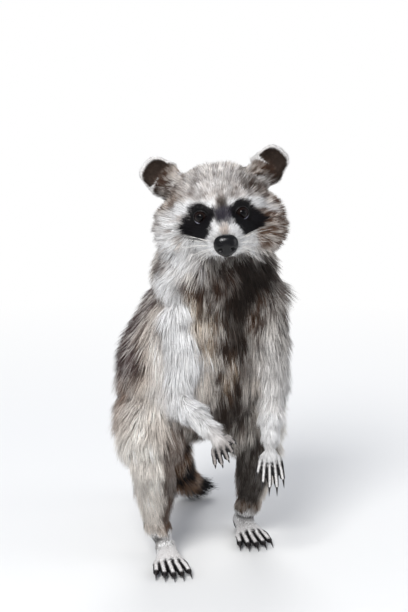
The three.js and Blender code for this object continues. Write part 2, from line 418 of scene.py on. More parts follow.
# Digits fan out from the knuckles. In mm: their length with the claw, where the black between them
# and their gaps begin, the half widths of a gap and of the white hair down a digit's back, and the
# length of the black end.
DIGIT_FANS = {
    "forepaw": dict(length=43, spread=1.8, dark=6, gap=28, half_gap=0.7, white=1.15, end=5.0),
    "hindpaw": dict(length=33, spread=1.35, dark=0, gap=12, half_gap=0.9, white=1.9, end=8.0),
}


def digit_lines(paw, side):
    """The roots and tips of a paw's digits, and the way across the paw."""
    fan = DIGIT_FANS[paw]
    claws = claws_of(paw, side)
    ahead = ahead_of(paw, side)
    across = square_to(claws[-1] - claws[0], ahead)
    middle = claws.mean(0)
    roots = middle - ahead * fan["length"] * MM + np.outer((claws - middle) @ across / fan["spread"], across)
    return roots, claws, across


def lines_between(roots, tips, across):
    """Root, way and sideways axis of each line."""
    for root, tip in zip(roots, tips):
        way = unit(tip - root)
        yield root, way, square_to(across, way)


# A gap between digits opens over a short way and is cut only as far out as a digit is thick.
GAP_START = 2
GAP_OPEN = 5
GAP_REACH = 0.012


def part_digits(distance):
    """Cuts narrow gaps between the digits of every paw."""
    for paw, side in PAWS:
        fan = DIGIT_FANS[paw]
        low, high = box_of(f"{paw}_{side}")
        first = np.maximum(np.floor((low - 0.004) / VOXEL).astype(int) - low_corner, 0)
        last = np.ceil((high + 0.006) / VOXEL).astype(int) - low_corner
        spots = voxels(first, last)
        block = tuple(slice(*ends) for ends in zip(first, last))
        roots, claws, across = digit_lines(paw, side)
        roots, claws = ((ends[:-1] + ends[1:]) / 2 for ends in (roots, claws))
        for root, way, sideways in lines_between(roots, claws, across):
            off = spots - root
            along = off @ way / MM
            half = fan["half_gap"] * ramp(fan["gap"] - GAP_START, fan["gap"] + GAP_OPEN, along)
            far = np.linalg.norm(off - (off @ way)[..., None] * way, axis=-1) > GAP_REACH
            cut = half * MM - np.abs(off @ sideways)
            cut[(along < fan["gap"] - GAP_START) | far] = -1
            distance[block] = np.maximum(distance[block], cut)
    return distance


def blurred(field, radius):
    """Box blur along each axis, twice over."""
    width = 2 * radius + 1
    for axis in (0, 1, 2, 0, 1, 2):
        pad = [(radius + 1, radius) if k == axis else (0, 0) for k in range(3)]
        total = np.cumsum(np.pad(field, pad, mode="edge"), axis, dtype=np.float32)
        upper = np.take(total, range(width, total.shape[axis]), axis)
        lower = np.take(total, range(0, total.shape[axis] - width), axis)
        field = (upper - lower) / width
    return field


def skin_surface():
    distance = body_distance()
    fine = finer(coat_at("fine", SHARES))
    distance = distance * fine + blurred(distance, BLUR) * (1 - fine)
    depth = coat_at("depth", SHARES)
    levels = (low_corner[2] + STEP * np.arange(coarse_shape[2])) * VOXEL
    depth *= 1 - 0.9 * leg_share(SHARES) * above_foot(levels, 64)
    distance += finer(depth) * MM
    grid = openvdb.FloatGrid(FAR_OUT)
    grid.transform = openvdb.createLinearTransform(VOXEL)
    grid.copyFromArray(part_digits(distance), ijk=tuple(int(k) for k in low_corner))
    points, quads = grid.convertToQuads(isovalue=0)
    return points.astype(float), quads.astype(int)


def relaxed(points, quads, rounds, keep):
    """Points moved towards the mean of their neighbours, less where keep is high."""
    a, b = np.concatenate([quads[:, [k, (k + 1) % 4]] for k in range(4)]).T
    number = len(points)
    count = (np.bincount(a, minlength=number) + np.bincount(b, minlength=number))[:, None]
    share = (0.5 * (1 - keep))[:, None]
    for _ in range(rounds):
        total = [np.bincount(a, axis[b], number) + np.bincount(b, axis[a], number) for axis in points.T]
        points = points + share * (np.stack(total, 1) / count - points)
    return points


# Each eye looks ahead and a little outwards. Its opening is a level almond.
EYE_TURN = 0.30
EYE_LIFT = 0.06
LID_THICKNESS = 0.9 * MM
SKIN_SUNK = 0.0025
OPENING = (math.radians(66), math.radians(56))


def eye_axes(side):
    ahead = unit(HEAD_FRONT + EYE_TURN * SIGN[side] * HEAD_X + EYE_LIFT * HEAD_Z)
    across = unit(np.cross(ahead, HEAD_Z))
    return ahead, across, np.cross(across, ahead)


def open_angle(turn):
    """How far the lids are open, seen along the gaze, at an angle round it."""
    wide, high = OPENING
    return 1 / np.sqrt((np.cos(turn) / wide) ** 2 + (np.sin(turn) / high) ** 2)


def shape_lids(points):
    """Draws the skin over each eyeball as lids and sinks it behind the opening."""
    for side in SIDES:
        ahead, across, upward = eye_axes(side)
        out = points - EYES[side]
        far = np.linalg.norm(out, axis=1)
        way = out / np.maximum(far, 1e-6)[:, None]
        off = np.arccos(np.clip(way @ ahead, -1, 1))
        rim = open_angle(np.arctan2(way @ upward, way @ across))
        inside = 1 - ramp(rim - 0.02, rim + 0.10, off)
        lid = EYE_RADIUS + LID_THICKNESS
        close = (1 - ramp(lid + 0.002, lid + 0.009, far)) * (1 - ramp(1.5, 2.2, off))
        goal = lid * (1 - inside) + (EYE_RADIUS - SKIN_SUNK) * inside
        goal = far + (goal - far) * close
        touched = close > 0
        points[touched] = (EYES[side] + way * goal[:, None])[touched]
    return points


def muzzle_relief(points):
    """The whisker pads, the brows, the line of the mouth and the cleft under the nose, in mm."""
    x, y, z = to_head(points).T
    side = np.abs(x)
    pad = hill((side - 11) / 8, (y + 76) / 12, (z + 24) / 7)
    brow = hill((side - 20) / 9, (y + 42) / 12, (z - 20) / 5)
    mouth_z = -29.5 - 0.03 * np.maximum(side - 2, 0) ** 1.5 + 0.05 * (y + 80)
    mouth = hill((z - mouth_z) / 1.5) * ramp(-44, -54, y) * (side < 30)
    cleft = hill(x / 1.2) * ramp(-78, -82, y) * ramp(-31, -28, z) * (z < -20)
    return pad * 1.8 + brow * 1.5 - mouth * 1.6 - cleft * 1.2


# The share of triangles that is kept away from the face and paws, and the face's reach in mm.
BODY_DETAIL = 0.40
FACE_REACH = 46


def thinned(points, quads):
    """The surface as triangles, with fewer of them away from the face and paws."""
    whole = make_mesh("skin_whole", points, quads)
    share = sample(SHARES, points)
    keep = np.linalg.norm(to_head(points) - (0, -50, -4), axis=1) < FACE_REACH
    for paw, side in PAWS:
        keep |= share_of(share, f"{paw}_{side}") > 0.6
    group = whole.vertex_groups.new(name="body")
    group.add(np.flatnonzero(~keep).tolist(), 1.0, "REPLACE")
    fewer = whole.modifiers.new("fewer", "DECIMATE")
    fewer.ratio = BODY_DETAIL
    fewer.vertex_group = "body"
    fewer.vertex_group_factor = 0.0
    fewer.use_collapse_triangulate = True
    mesh = whole.evaluated_get(bpy.context.evaluated_depsgraph_get()).to_mesh()
    points, corners = triangles(mesh)
    bpy.data.objects.remove(whole)
    return points.astype(float), corners


def wrists(points):
    """1 round the roots of the fingers, which would stand out beside the wrist."""
    zone = np.zeros(len(points))
    for side in SIDES:
        knuckles = centre(f"forepaw_{side}") - ahead_of("forepaw", side) * 0.012
        zone = np.maximum(zone, near(points, knuckles / MM, 24))
    return zone


PAW_ROUNDS = 2
SKIN_ROUNDS = 40


def make_skin():
    points, quads = skin_surface()
    paws = share_of(sample(SHARES, points), *[f"{paw}_{side}" for paw, side in PAWS])
    points = relaxed(points, quads, PAW_ROUNDS, 0.8 * ramp(0.4, 0.7, paws))
    points = relaxed(points, quads, SKIN_ROUNDS, 1 - wrists(points))
    points, corners = thinned(points, quads)
    points = points + normals_of(points, corners) * muzzle_relief(points)[:, None] * MM
    points = shape_lids(points)
    return points, corners, normals_of(points, corners)


def unwrapped(piece):
    """Gives a piece its OFBake map and returns the map's place of each corner of each face."""
    piece.data.uv_layers.new(name="OFBake")
    bpy.context.view_layer.objects.active = piece
    piece.select_set(True)
    bpy.ops.object.mode_set(mode="EDIT")
    bpy.ops.mesh.select_all(action="SELECT")
    bpy.ops.uv.smart_project(angle_limit=1.15, island_margin=0.001)
    bpy.ops.object.mode_set(mode="OBJECT")
    piece.select_set(False)
    return read(piece.data.uv_layers["OFBake"].data, "uv", 2).reshape(-1, 3, 2)


# ---- markings

def srgb(*value):
    v = np.array(value) / 255
    return np.where(v <= 0.04045, v / 12.92, ((v + 0.055) / 1.055) ** 2.4)


WHITE = srgb(248, 247, 246)
CREAM = srgb(240, 234, 226)
PEACH = srgb(230, 216, 202)
WARM = srgb(196, 178, 156)
SILVER = srgb(206, 202, 198)
GRIZZLE = srgb(160, 146, 136)
TAN = srgb(150, 112, 80)
RUST = srgb(132, 86, 56)
RING_BROWN = srgb(134, 104, 80)
BROWN = srgb(78, 56, 44)
DARK_BROWN = srgb(48, 37, 30)
UMBER = srgb(36, 28, 23)
DORSAL = srgb(72, 56, 62)
BLACK = srgb(20, 18, 21)
SKIN_BLACK = srgb(24, 21, 23)
BRIDGE = srgb(58, 55, 64)
MUZZLE_TOP = srgb(168, 140, 116)

BASE = {
    "face": WHITE, "head": GRIZZLE, "ear": SILVER, "neck": GRIZZLE, "trunk": PEACH,
    "upper_arm_right": WHITE, "upper_arm_left": SILVER, "forearm": WHITE, "forepaw_left": WHITE,
    # The right forepaw's grey is partly painted shade; the left forepaw is white.
    "forepaw_right": mix(WHITE, GRIZZLE, 0.6), "thigh": CREAM, "shank": mix(PEACH, CREAM, 0.7),
    "hindpaw": WHITE, "tail_root": RING_BROWN, "tail_end": BROWN,
}

# Patches over the front and sides of the body: place and reach in mm, colour, strength.
PATCHES = [
    ((-84, -30, 345), (40, 60, 60), GRIZZLE, 0.6),
    ((-36, -98, 328), (34, 50, 38), WARM, 0.9),
    ((-28, -104, 272), (32, 54, 80), WARM, 0.9),
    # Dark brown down the chest and throat: partly brown fur, partly painted shade.
    ((20, -95, 325), (48, 60, 74), DARK_BROWN, 0.98),
    ((18, -92, 366), (78, 60, 48), UMBER, 0.98),
    ((-20, -98, 360), (30, 44, 40), mix(BROWN, DARK_BROWN, 0.6), 0.97),
    # Dark brown on the belly between the arms and between the legs: partly brown fur, partly painted shade.
    ((12, -85, 250), (35, 60, 90), DARK_BROWN, 0.97),
    ((6, -60, 190), (58, 60, 58), DARK_BROWN, 0.98),
    ((7, -92, 250), (15, 40, 42), mix(WARM, TAN, 0.3), 0.7),
    ((42, -82, 318), (24, 50, 34), mix(BROWN, TAN, 0.4), 0.75),
    # Grey-brown where the right thigh meets the belly: partly fur, partly painted shade in the crease.
    ((-52, -62, 168), (30, 44, 50), mix(GRIZZLE, BROWN, 0.5), 0.8),
    ((92, -50, 318), (34, 70, 54), BROWN, 0.85),
    ((-60, -64, 380), (30, 46, 42), WHITE, 0.85),
    ((-88, 14, 196), (30, 40, 62), mix(RUST, TAN, 0.4), 0.65),
]

# The pale sleeves: that of the right arm runs from the neck to the elbow. Line and reach in mm,
# colour, strength.
SLEEVES = [
    (((-66, -44, 404), (-68, -62, 366), (-64, -78, 316), (-54, -86, 252), (-50, -92, 205)),
     26, WHITE, 0.96),
    (((68, -86, 286), (67, -90, 262), (66, -94, 212)), 25, mix(SILVER, WHITE, 0.4), 0.85),
]


def along_line(points, line, reach):
    """1 on a line of spots given in mm, fading to 0 at its reach."""
    spots = points / MM
    off = np.full(len(points), np.inf)
    for a, b in zip(np.array(line[:-1], float), np.array(line[1:], float)):
        t = np.clip((spots - a) @ (b - a) / ((b - a) @ (b - a)), 0, 1)
        off = np.minimum(off, np.linalg.norm(spots - a - t[:, None] * (b - a), axis=1))
    return ramp(1.0, 0.6, off / reach)


def body_tint(points, normals, share):
    x, y, z = points.T / MM
    outward, backward = normals[:, 0], normals[:, 1]
    colour = np.zeros_like(points)
    clear = share ** 2 / (share ** 2).sum(0)
    for own, part, kind in zip(clear, PARTS, KINDS):
        colour += own[:, None] * BASE.get(part, BASE.get(kind))
    body = share_of(share, "trunk", "neck")
    ragged = waves(points, 30, 11)
    flank = ramp(-0.1, 0.5, backward + 0.12 * ragged) * body
    back = ramp(0.35, 0.85, backward + 0.15 * ragged) * body
    edge = band(z, 190, 352, 18) * ramp(0.0, -0.5, outward) * ramp(-44, -14, y + 8 * ragged)
    colour = laid(colour, (GRIZZLE, 0.8 * flank), (DORSAL, 0.8 * back), (DORSAL, 0.93 * edge * body))
    arms = share_of(share, "upper_arm_right", "upper_arm_left")
    for spot, radii, tone, strength in PATCHES:
        reach = near(points, spot, radii) * ramp(0.4, 0.0, backward)
        colour = mix(colour, tone, strength * reach * (1 - 0.9 * ramp(0.35, 0.6, arms)))
    for line, reach, tone, strength in SLEEVES:
        sleeve = along_line(points, line, reach) * ramp(0.5, 0.1, backward + 0.1 * ragged)
        colour = mix(colour, tone, strength * sleeve)
    left_arm = share_of(share, "upper_arm_left") * ramp(256, 304, z + 10 * ragged)
    colour = mix(colour, DARK_BROWN, 0.92 * left_arm)
    for side in SIDES:
        colour = leg_tint(colour, points, normals, share, side, ragged)
    return colour


# Each leg: how far round to the outside its dark front reaches, from and to, that front's colour,
# and how far up it goes on over the thigh. Each dark front is partly the leg's own grey-brown and
# partly painted shade, the left leg's most.
LEG_FRONT = {
    "right": (-0.05, 0.35, mix(BROWN, GRIZZLE, 0.1), 0.55),
    "left": (-0.6, -0.2, UMBER, 1.0),
}


def leg_tint(colour, points, normals, share, side, ragged):
    """Pale outside, dark on the inner front, rust behind and brown above the white foot."""
    low, high, dark, on_thigh = LEG_FRONT[side]
    shank = share_of(share, f"shank_{side}")
    leg = shank + on_thigh * share_of(share, f"thigh_{side}")
    inner = ramp(low, high, normals[:, 0] * -SIGN[side] + 0.12 * ragged)
    behind = ramp(0.3, 0.8, normals[:, 1])
    ankle = ramp(0.2, 0.5, shank + share_of(share, f"hindpaw_{side}"))
    z = points[:, 2] / MM + 5 * ragged
    return laid(
        colour, (dark, np.minimum(1.05 * inner * leg, 0.97)), (RUST, 0.7 * behind * leg),
        (mix(BROWN, TAN, 0.4), 0.5 * ankle * band(z, 46, 58, 9)), (WHITE, 0.95 * ankle * ramp(48, 38, z)))


RINGS = 5.5


def tail_tint(points):
    """Rings by how far along the tail's two straight stretches a place is, and a black end."""
    bend = (centre("tail_root") + centre("tail_end")) / 2
    first, second = bend - TAIL_START, TAIL_TIP - bend
    a, b = np.linalg.norm(first), np.linalg.norm(second)
    along = np.clip((points - TAIL_START) @ unit(first), 0, a) + np.clip((points - bend) @ unit(second), 0, b)
    along = along / (a + b)
    ring = ramp(-0.3, 0.3, np.sin(2 * math.pi * RINGS * along - 1.2))
    dark = mix(BROWN, BLACK, ramp(0.2, 0.6, along))
    return laid(RING_BROWN, (dark, ring), (BLACK, ramp(0.76, 0.81, along)))


# The mask's outline beside each eye: across and up in mm, in the head's axes.
MASK = [(6, 14), (14, 17), (29, 15), (43, 6), (53, -4), (47, -11), (32, -15), (20, -15), (12, 0), (7, 6)]


def inside_outline(x, z, outline, soft):
    """1 inside an outline, 0 outside, fading over soft."""
    outline = np.array(outline, float)
    distance = np.full(len(x), 1e9)
    inside = np.zeros(len(x), bool)
    for a, b in zip(outline, np.roll(outline, -1, 0)):
        edge = b - a
        t = np.clip(((x - a[0]) * edge[0] + (z - a[1]) * edge[1]) / (edge @ edge), 0, 1)
        distance = np.minimum(distance, np.hypot(x - a[0] - t * edge[0], z - a[1] - t * edge[1]))
        crosses = (a[1] > z) != (b[1] > z)
        inside ^= crosses & (x < a[0] + (z - a[1]) * edge[0] / (edge[1] if edge[1] else 1e-9))
    return ramp(-soft, soft, np.where(inside, distance, -distance))


def head_tint(points, normals):
    spots = to_head(points + 0.0016 * waves(points, 9, 5)[:, None] * normals)
    x, y, z = spots.T
    side = np.abs(x)
    front = ramp(-5, -22, y)
    spots = spots * MM
    fleck = waves(points, 8, 81) * ramp(20, 28, z)
    cheek = near(spots, (-6, -26, -20), (110, 74, 52)) * ramp(34, 16, y)
    streaks = ramp(0.2, 1.0, waves(points, 11, 85)) * ramp(30, 42, side) * ramp(-30, -18, z)
    # The left cheek's brown is partly brown hair and partly painted shade.
    left_cheek = ramp(30, 43, x + 3 * waves(points, 12, 83)) * band(z, -46, 18, 8)
    brow_line = 20.0 - 0.011 * np.maximum(side - 22, 0) ** 2
    brow = ramp(-10, -6, z - brow_line) * ramp(8, 0, z - brow_line)
    muzzle = ramp(-52, -60, y) * ramp(8, 2, z)
    # The right eye's patch reaches less far out. Round the side of the head both narrow to an end.
    around = np.where(x < 0, 1.08 * side, side) + 0.45 * np.maximum(y + 34, 0)
    stripe = ramp(7.0, 3.5, np.abs(x - 2)) * band(z, 11, 26, 4) * front
    bridge = ramp(10, 6, np.abs(x - 1)) * band(z, 1, 16, 3) * front
    top = ramp(6, 2, side) * band(z, -12, 0, 3) * ramp(-54, -60, y)
    # Dark brown under the chin: partly the throat's brown fur, partly painted shade.
    throat = ramp(-33, -38, z) * ramp(-58, -48, y)
    return laid(
        GRIZZLE,
        (WHITE, 0.5 * near(spots, (-8, -22, 46), (56, 40, 34))),
        (DARK_BROWN, 0.75 * near(spots, (35, -16, 38), (20, 30, 20))),
        (TAN, 0.6 * near(spots, (-54, -4, 24), (22, 30, 18))),
        (BROWN, 0.5 * ramp(0.1, 0.9, fleck)),
        (WHITE, 0.45 * ramp(0.1, 0.9, -fleck)),
        (WHITE, 0.95 * cheek),
        (mix(TAN, GRIZZLE, 0.5), 0.5 * streaks),
        (mix(BROWN, TAN, 0.3), 0.95 * left_cheek),
        (WHITE, brow * ramp(3, 7, side) * ramp(66, 56, side) * front),
        (WHITE, muzzle),
        (BLACK, inside_outline(around, z, MASK, 2.0) * front),
        (DARK_BROWN, 0.9 * stripe),
        (BRIDGE, bridge),
        (MUZZLE_TOP, 0.6 * top),
        (UMBER, 0.97 * throat * ramp(-30, -16, x) * ramp(60, 40, x)),
        (SKIN_BLACK, near(points, centre("nose") / MM, (17, 17, 14))),
        (SKIN_BLACK, sum(ramp(15.0, 12.4, from_eye(eye, points)) for eye in SIDES)))


OUTLINE_BINS = 32
OUTLINE_SPOTS = 6000


def outline_share(node, origin, sideways, ahead, off, along):
    """How far out places lie towards a node's outline in a plane: 1 on the outline."""
    points, corners = triangles_of(node)
    face, weight = scatter(points, corners, OUTLINE_SPOTS, np.random.default_rng(3))
    cloud = (blend(points[corners[face]], weight) - origin) / MM
    across, up = cloud @ sideways, cloud @ ahead
    middle = up.max() / 2
    turn = np.arctan2(up - middle, across)
    bins = ((turn / (2 * math.pi)) * OUTLINE_BINS).astype(int) % OUTLINE_BINS
    far = np.zeros(OUTLINE_BINS)
    np.maximum.at(far, bins, np.hypot(across, up - middle))
    place = np.arctan2(along - middle, off) / (2 * math.pi) * OUTLINE_BINS - 0.5
    low = np.floor(place).astype(int)
    share = place - low
    reach = far[low % OUTLINE_BINS] * (1 - share) + far[(low + 1) % OUTLINE_BINS] * share
    return np.hypot(off, along - middle) / reach


def ear_tint(points, normals, side):
    """Near black inside with pale hair along its inner side and a white rim, dark behind."""
    root, axis = ear_line(side)
    facing = unit(HEAD_FRONT + 0.25 * SIGN[side] * HEAD_X)
    sideways = unit(np.cross(axis, facing))
    along, off, inside = ((points - root) @ way / MM for way in (axis, sideways, square_to(HEAD_Z, axis)))
    inside = inside + 3 * waves(points, 9, 61)
    forward = normals @ facing
    edge = outline_share(f"ear_{side}", root, sideways, axis, off, along)
    hollow = ramp(16, 4, np.abs(inside)) * ramp(6, 14, along) * ramp(34, 20, along)
    tufted = ramp(30, 14, along) * ramp(2, 11, inside) * ramp(0.1, 0.5, forward)
    turned = ramp(0.7, 0.4, np.abs(forward)) * ramp(0.66, 0.78, edge)
    rim = np.maximum(ramp(0.785, 0.825, edge), turned)
    return laid(
        DARK_BROWN, (BROWN, 0.7 * hollow), (mix(TAN, SILVER, 0.5), 0.6 * tufted),
        (BROWN, 0.6 * ramp(0.1, -0.4, forward) * ramp(20, 6, along)),
        (mix(WHITE, SILVER, 0.35), rim * ramp(0, 9, along)))


def under_paw(points, normals, paw, side):
    """1 on palms, soles and the facing sides of the digits, which are bare and black; the black between the
    digits is also painted shade in the gaps.
    """
    fan = DIGIT_FANS[paw]
    roots, claws, across = digit_lines(paw, side)
    aside = np.full(len(points), np.inf)
    beside, end = np.zeros(len(points)), np.zeros(len(points))
    for (root, way, sideways), claw in zip(lines_between(roots, claws, across), claws):
        off = (points - root) / MM
        off_line = np.abs(off @ sideways)
        closer = off_line < aside
        aside = np.minimum(aside, off_line)
        started = ramp(fan["dark"], fan["dark"] + 7, off @ way)
        # Black near each line between two digits: bare black skin, and painted shade in the gap.
        dark = ramp(fan["white"] - 0.5, fan["white"] + 0.5, off_line) * started
        beside = np.where(closer, dark, beside)
        black_from = (claw - root) @ way / MM - fan["end"]
        end = np.where(closer, ramp(black_from - 1.5, black_from + 1.5, off @ way), end)
    under = ramp(0.25, -0.15, normals @ back_of(paw, side))
    return np.maximum(np.maximum(under, beside), end)


def tint(points, normals, share):
    """The coat's colour at places on the skin."""
    head = share_of(share, "head", "face")
    jaw = ramp(-56, -44, to_head(points)[:, 2] + 4 * waves(points, 14, 71))
    tail = share_of(share, "tail_root", "tail_end")
    colour = laid(body_tint(points, normals, share),
                  (head_tint(points, normals), ramp(0.25, 0.6, head) * jaw),
                  (tail_tint(points), ramp(0.2, 0.8, tail)))
    for side in SIDES:
        there = ramp(0.35, 0.65, share_of(share, f"ear_{side}"))
        colour = mix(colour, ear_tint(points, normals, side), there)
    for paw, side in PAWS:
        there = ramp(0.35, 0.65, share_of(share, f"{paw}_{side}"))
        colour = mix(colour, SKIN_BLACK, there * under_paw(points, normals, paw, side))
    return colour


# ---- the lie of the coat

NEXT_PART = {"upper_arm": "forearm", "forearm": "forepaw", "thigh": "shank", "shank": "hindpaw"}


def flow(points, normals, share):
    """The way the hair lies at each place, along the skin."""
    way = np.zeros_like(points)
    down = np.array([0, 0.10, -1.0])
    from_nose = unit(points - NOSE_TIP)
    for own, part, kind in zip(share, PARTS, KINDS):
        side = part.split("_")[-1]
        if kind in ("head", "face"):
            lie = from_nose + 0.25 * down
        elif kind in ("neck", "trunk"):
            lie = down
        elif kind == "ear":
            lie = ear_line(side)[1]
        elif kind == "tail_root":
            lie = unit(centre("tail_end") - TAIL_START)
        elif kind == "tail_end":
            lie = unit(TAIL_TIP - centre("tail_end"))
        elif kind in DIGIT_FANS:
            lie = ahead_of(kind, side)
        else:
            lie = unit(centre(f"{NEXT_PART[kind]}_{side}") - centre(part))
        way += own[:, None] * lie
    stray = np.stack([waves(points, 38, 21 + axis) for axis in range(3)], 1)
    way = unit(way) + 0.16 * stray
    return unit(way - normals * (way * normals).sum(1, keepdims=True))


# ---- tufts

# A tuft is a thin three-sided blade that rises from the skin, bends over and ends in a point.
CORNERS = 3
BENDS = 1
ROOT_SUNK = 0.0006
ABOVE_FLOOR = 0.0002
# Every blade keeps to a small patch of the skin's own map.
PATCH_WIDTH = 0.0007
PATCH_LENGTH = 0.003


def blade_faces():
    """Triangles of one blade: its foot, its rings and its point."""
    faces = [(0, 2, 1)]
    for low in range(0, BENDS * CORNERS, CORNERS):
        high = low + CORNERS
        for k in range(CORNERS):
            n = (k + 1) % CORNERS
            faces += [(low + k, low + n, high + n), (low + k, high + n, high + k)]
    last = BENDS * CORNERS
    faces += [(last + k, last + (k + 1) % CORNERS, last + CORNERS) for k in range(CORNERS)]
    return np.array(faces)


def nearest(points, guides):
    tree = kdtree.KDTree(len(guides))
    for k, guide in enumerate(guides):
        tree.insert(guide, k)
    tree.balance()
    return np.array([tree.find(p)[1] for p in points])


def make_blades(name, tufts):
    """Joined blades. Their strand holds each one's tone, dark tip and painted shade at the root."""
    root, normal, way, length, height = (tufts[key] for key in ("root", "normal", "way", "length", "height"))
    count = len(root)
    reach = np.sqrt(np.maximum(length ** 2 - height ** 2, (0.3 * length) ** 2))
    across = unit(np.cross(normal, way))
    knee = root + way * (0.42 * reach)[:, None] + normal * (0.72 * height)[:, None]
    tip = root + way * reach[:, None] + normal * height[:, None]
    foot = root - normal * ROOT_SUNK
    rings, shares = [], np.linspace(0, 1, BENDS + 2)[:-1]
    for t, full in zip(shares, np.interp(shares, [0, 0.35, 1], [0.75, 1.0, 0.0])):
        middle = ((1 - t) ** 2 * foot.T + 2 * t * (1 - t) * knee.T + t ** 2 * tip.T).T
        ahead = unit((1 - t) * (knee - foot) + t * (tip - knee))
        rise = unit(np.cross(ahead, across))
        rise *= np.sign((rise * normal).sum(1, keepdims=True) + 1e-9)
        half = (tufts["width"] * full / 2)[:, None]
        rings += [middle - across * half, middle + across * half, middle + rise * half * 0.9]
    points = np.stack(rings + [tip], 1)
    points[..., 2] = np.maximum(points[..., 2], ABOVE_FLOOR)
    per = points.shape[1]
    faces = (blade_faces()[None] + (np.arange(count) * per)[:, None, None]).reshape(-1, 3)
    piece = make_mesh(name, points.reshape(-1, 3), faces)
    along = np.append(np.repeat(shares, CORNERS), 1.0)
    for layer, values, last in (("tint", tufts["colour"], along), ("strand", tufts["strand"], 1)):
        stored = np.empty((count, per, 4), np.float32)
        stored[..., :3] = values[:, None]
        stored[..., 3] = last
        paint(piece, layer, stored)
    patch = np.empty((per, 2))
    patch[:, 0] = np.append(np.tile([-1, 1, 0], BENDS + 1), 0) * PATCH_WIDTH
    patch[:, 1] = (along - 0.5) * PATCH_LENGTH
    uv = (tufts["place"][:, None] + patch[None]).reshape(-1, 2)[faces.ravel()]
    layer = piece.data.uv_layers.new(name="OFBake")
    layer.data.foreach_set("uv", uv.astype(np.float32).ravel())
    # Each blade is shaded mostly as the skin under it, so that the coat looks soft.
    turn = np.append(np.tile([-0.75, 0.75, 0.0], (per - 1) // CORNERS), 0.0)
    bent = normal[:, None] + across[:, None] * turn[None, :, None] + way[:, None] * 0.15
    piece.data.normals_split_custom_set_from_vertices(unit(bent).reshape(-1, 3).astype(np.float32))
    return piece


# How far a tuft's length, height, width and brightness differ from those of its place.
LENGTHS = (0.75, 1.12)
HEIGHTS = (0.45, 1.22)
WIDTHS = (0.7, 1.25)
BRIGHTNESS = (0.80, 1.14)
SWAY = 0.13
# The long coat carries on a little over the short.
CARRY_ON = 1.6
SHORTEST = 2.4 * MM
GUIDES_PER_TUFT = 0.055
BRIGHTEST = 0.96
# Triangles that one piece may have, and each region's slot and kinds of part.
PIECE_LIMIT = 190_000
REGIONS = {
    "coat_face": ("fur_pale", ["face"]),
    "coat_head": ("fur_pale", ["head"]),
    "coat_ears": ("fur_dark", ["ear"]),
    "coat_neck": ("fur_grizzled", ["neck"]),
    "coat_trunk": ("fur_grizzled", ["trunk"]),
    "coat_arms": ("fur_pale", ["upper_arm", "forearm", "forepaw"]),
    "coat_legs": ("fur_brown", ["thigh", "shank", "hindpaw"]),
    "coat_tail": ("fur_brown", ["tail_root", "tail_end"]),
}


def tuft_roots(points, corners, normals):
    """Faces and shares of their corners, spread by how thick the coat grows."""
    area = np.linalg.norm(face_normals(points, corners), axis=1) / 2
    middle = points[corners].mean(1)
    density = coat_at("per_cm2", sample(SHARES, middle)) * 1e4
    density *= 1 - bare(middle, unit(normals[corners].sum(1)))
    return scatter(points, corners, int((area * density).sum()), rng, density)


def tuft_sizes(root, share, ragged):
    """The length of each tuft and how high it stands."""
    length = coat_at("length", share, CARRY_ON)
    length = length * MM * rng.uniform(*LENGTHS, len(root)) * (1 + 0.12 * ragged)
    height = coat_at("depth", share) * MM * rng.uniform(*HEIGHTS, len(root))
    # The hair stands out on the crown and at the left of the neck, and stops short above each foot.
    height *= 1 + 0.35 * near(root, from_head((0, 0, 52)) / MM, (44, 40, 40))
    height *= 1 + 0.6 * near(root, (72, -55, 357), (44, 54, 36))
    low = leg_share(share) * above_foot(root[:, 2] + 0.007 * ragged)
    length = np.maximum(length * (1 - 0.74 * low), np.minimum(length, SHORTEST))
    height *= (1 - 0.6 * low) * (1 - 0.55 * leg_share(share) * above_foot(root[:, 2], 135))
    return length, np.minimum(height, 0.6 * length)


def in_locks(root, normal, way, length, share):
    """Leans the tips together into locks. Gives each tuft's way, length and guide."""
    count = len(root)
    way = unit(way + np.cross(normal, way) * rng.normal(0, SWAY, (count, 1)))
    chosen = rng.choice(count, int(count * GUIDES_PER_TUFT), replace=False)
    guide = chosen[nearest(root, root[chosen])]
    tip = root + way * length[:, None]
    guide_tip = root[guide] + way[guide] * length[guide][:, None] * 1.05
    pull = (coat_at("gather", share) * rng.uniform(0.4, 1.0, count))[:, None]
    goal = tip + (guide_tip - tip) * pull - root
    goal -= normal * (goal * normal).sum(1, keepdims=True)
    return unit(goal), np.clip(np.linalg.norm(goal, axis=1), 0.55 * length, 1.15 * length), guide


def tuft_colours(root, normal, share, ragged, guide):
    """Each tuft's colour, and its tone, dark tip and painted shade at the root."""
    count = len(root)
    colour = tint(root, normal, share)
    by_lock = [0.3 * rng.random(count) + 0.7 * rng.random(count)[guide] for _ in range(2)]
    tone, tip_chance = ((chance - chance.min()) / np.ptp(chance) for chance in by_lock)
    colour = grizzled(colour, share, tone)
    colour *= (1 + 0.12 * waves(root, 22, 41) + 0.08 * ragged + 0.26 * (tone - 0.5))[:, None]
    colour = np.minimum(colour * rng.uniform(*BRIGHTNESS, (count, 1)), BRIGHTEST)
    level = colour.mean(1)
    # Some tufts of the grizzled parts end in black. Next to the skin the long coat is darker, as painted
    # shade.
    dark_tip = np.where(tip_chance < grizzle_share(share), 0.85, 0.0) * ramp(0.70, 0.45, level)
    painted_root_shade = np.tensordot([0.2 if kind in SHORT else 0.75 for kind in KINDS], share, 1)
    painted_root_shade = painted_root_shade * (1 - 0.45 * ramp(0.3, 0.7, level))
    return colour, np.stack([rng.random(count), dark_tip, painted_root_shade], 1)


